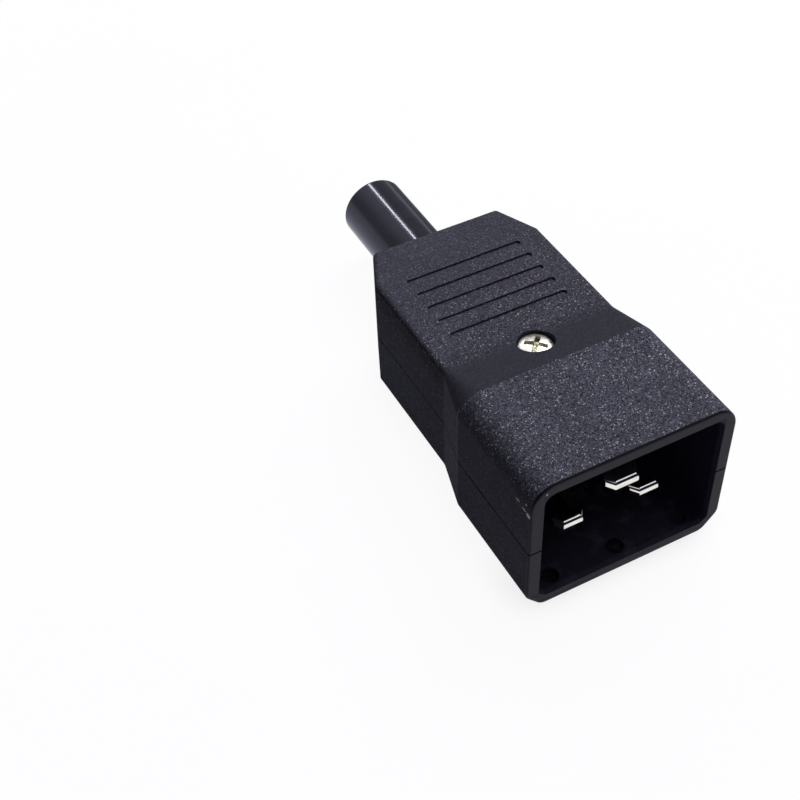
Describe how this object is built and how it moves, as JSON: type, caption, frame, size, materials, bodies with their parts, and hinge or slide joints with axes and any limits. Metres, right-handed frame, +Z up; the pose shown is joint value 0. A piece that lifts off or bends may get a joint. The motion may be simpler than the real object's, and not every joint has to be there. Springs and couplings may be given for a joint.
{
  "type": "rewireable iec plug",
  "caption": "Rewireable appliance plug: flat pins inside a rectangular shroud, split plastic housing closed by a recessed top screw, grip grooves, and a soft cable sleeve at the rear.",
  "frame": {"origin": "centre of the bottom of the overall box: midway along the plug, on the middle plane, on the underside of the head", "axes": "-Y out of the shroud along the pins, +Y along the leaving cable, +Z up out of the face with the housing screw, +X to the right when looking along +Y at the pins"},
  "size_m": [0.0334, 0.08, 0.0258],
  "materials": {
    "housing": "black, fine spark-eroded texture",
    "carrier": "black, smooth moulded",
    "clamp": "black, smooth moulded",
    "plated_pin": "bright nickel plate over brass",
    "terminal_brass": "plain machined brass",
    "plated_screw": "bright plated steel",
    "sleeve": "glossy soft black vinyl"
  },
  "bodies": {
    "root": {"upper_shell": "housing", "lower_shell": "housing", "pin_carrier": "carrier", "live_pin": "plated_pin", "neutral_pin": "plated_pin", "earth_pin": "plated_pin", "live_terminal": "terminal_brass", "neutral_terminal": "terminal_brass", "earth_terminal": "terminal_brass", "terminal_screws": "plated_screw", "housing_screw": "plated_screw", "cord_clamp": "clamp", "cord_clamp_screws": "plated_screw", "cable_sleeve": "sleeve"}
  },
  "joints": []
}
